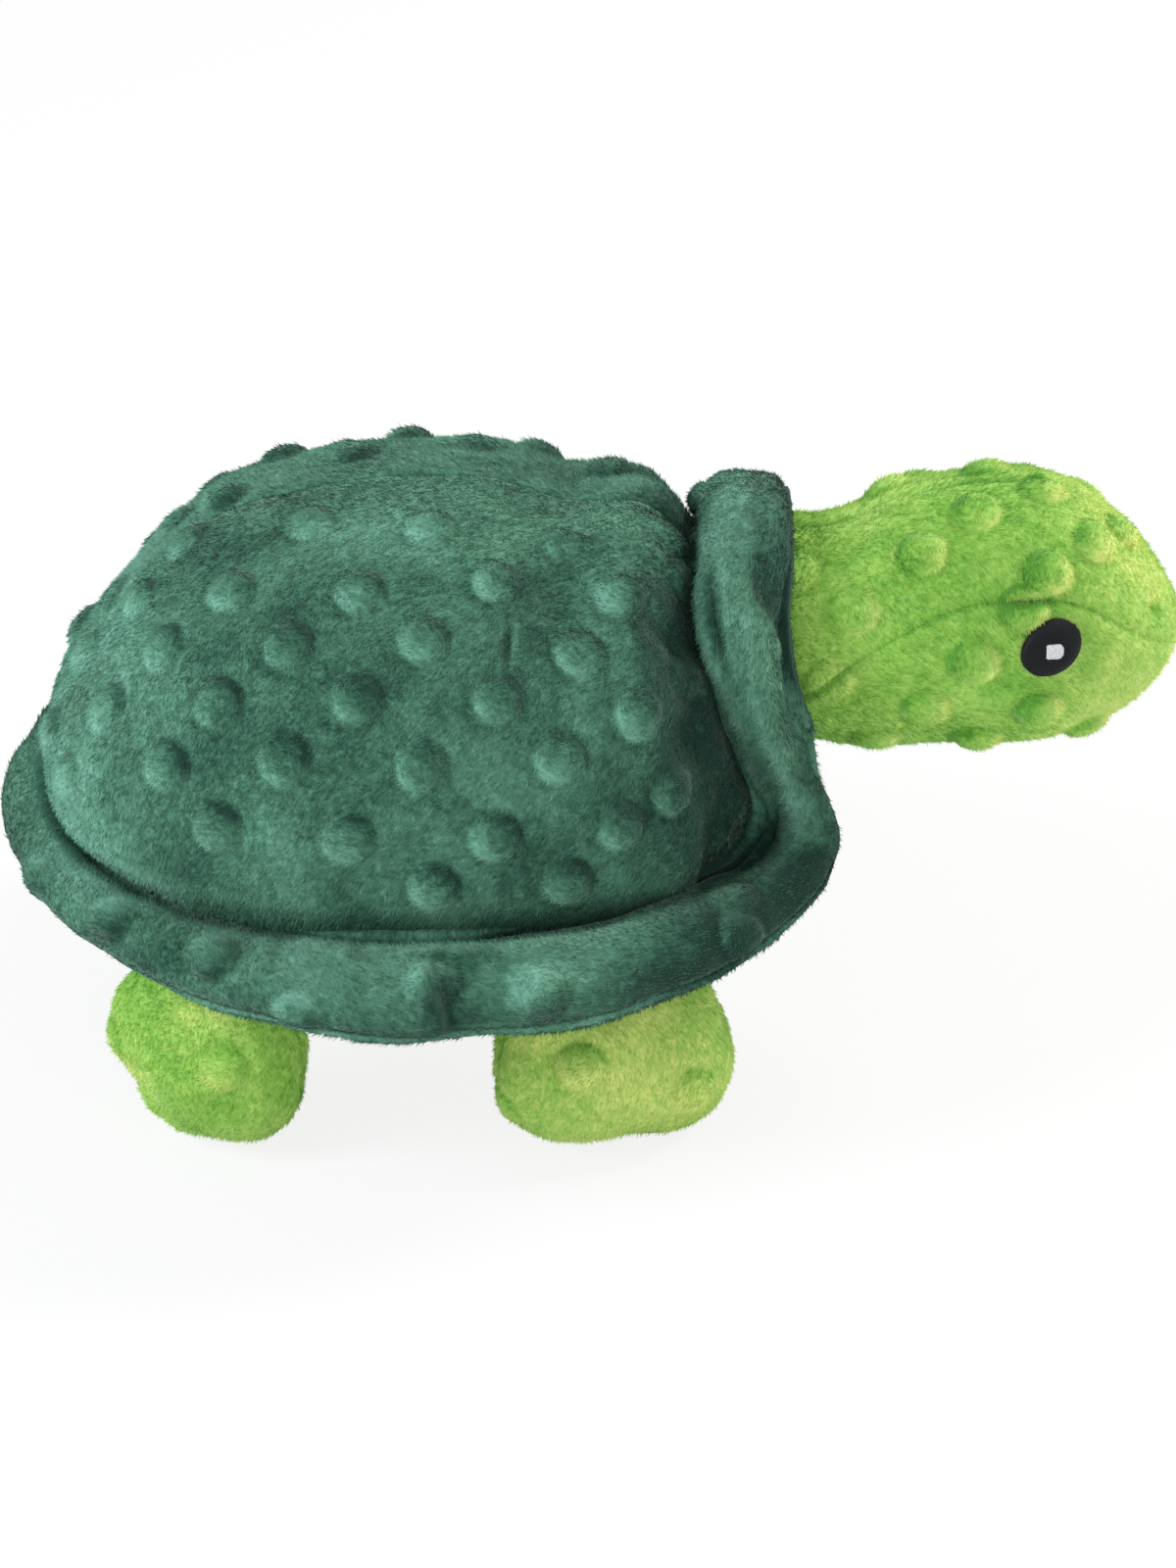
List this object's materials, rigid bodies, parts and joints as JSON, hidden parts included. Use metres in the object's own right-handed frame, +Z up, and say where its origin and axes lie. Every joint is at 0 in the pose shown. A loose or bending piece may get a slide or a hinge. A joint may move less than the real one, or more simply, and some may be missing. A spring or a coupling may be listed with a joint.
{
  "type": "plush turtle",
  "caption": "Stuffed turtle of dimpled plush with a green shell, a padded brim that rises into a collar, a lime head that turns and nods, and lime stub legs that splay.",
  "frame": {"origin": "middle of the toy's box, on the floor that its soles stand on", "axes": "+X towards the nose, +Y to the turtle's left, +Z up"},
  "size_m": [0.2219, 0.1488, 0.1191],
  "materials": {
    "shell_plush": "short-pile dimple plush, deep teal green, matt with a soft sheen",
    "skin_plush": "short-pile dimple plush, lime green, matt with a soft sheen",
    "fill_fibre": "white polyester fibre",
    "eye_thread": "black satin-stitched thread",
    "glint_thread": "white satin-stitched thread"
  },
  "bodies": {
    "shell": {"shell_panel_right": "shell_plush", "shell_panel_left": "shell_plush", "brim_upper_panel": "shell_plush", "brim_lower_panel": "shell_plush", "brim_fill": "fill_fibre", "belly_panel": "skin_plush", "body_fill": "fill_fibre"},
    "neck": {"neck_fill": "fill_fibre"},
    "head": {"head_top_panel_right": "skin_plush", "head_top_panel_left": "skin_plush", "head_chin_panel": "skin_plush", "head_fill": "fill_fibre", "eye_right": "eye_thread", "eye_left": "eye_thread", "eye_glint_right": "glint_thread", "eye_glint_left": "glint_thread"},
    "leg_front_right": {"leg_front_right_outer_panel": "skin_plush", "leg_front_right_inner_panel": "skin_plush", "leg_front_right_fill": "fill_fibre"},
    "leg_front_left": {"leg_front_left_outer_panel": "skin_plush", "leg_front_left_inner_panel": "skin_plush", "leg_front_left_fill": "fill_fibre"},
    "leg_rear_right": {"leg_rear_right_outer_panel": "skin_plush", "leg_rear_right_inner_panel": "skin_plush", "leg_rear_right_fill": "fill_fibre"},
    "leg_rear_left": {"leg_rear_left_outer_panel": "skin_plush", "leg_rear_left_inner_panel": "skin_plush", "leg_rear_left_fill": "fill_fibre"}
  },
  "joints": [
    {"name": "head_turn", "type": "hinge", "parent": "shell", "child": "neck", "pos_m": [0.0385, 0, 0.084], "axis": [0, 0, 1], "range_deg": [-20, 20], "stiffness_Nm_per_rad": 0.3},
    {"name": "head_nod", "type": "hinge", "parent": "neck", "child": "head", "pos_m": [0.0385, 0, 0.084], "axis": [0, 1, 0], "range_deg": [-14, 15], "stiffness_Nm_per_rad": 0.3, "springref_deg": -0.97},
    {"name": "leg_front_right_splay", "type": "hinge", "parent": "shell", "child": "leg_front_right", "pos_m": [0.00299, -0.0416, 0.03605], "axis": [-0.9397, -0.342, 0], "range_deg": [-18, 35], "stiffness_Nm_per_rad": 0.2},
    {"name": "leg_front_left_splay", "type": "hinge", "parent": "shell", "child": "leg_front_left", "pos_m": [0.00299, 0.0416, 0.03605], "axis": [0.9397, -0.342, 0], "range_deg": [-18, 35], "stiffness_Nm_per_rad": 0.2},
    {"name": "leg_rear_right_splay", "type": "hinge", "parent": "shell", "child": "leg_rear_right", "pos_m": [-0.06852, -0.04071, 0.03615], "axis": [-0.9272, 0.3746, 0], "range_deg": [-18, 35], "stiffness_Nm_per_rad": 0.2},
    {"name": "leg_rear_left_splay", "type": "hinge", "parent": "shell", "child": "leg_rear_left", "pos_m": [-0.06852, 0.04071, 0.03615], "axis": [0.9272, 0.3746, 0], "range_deg": [-18, 35], "stiffness_Nm_per_rad": 0.2}
  ]
}
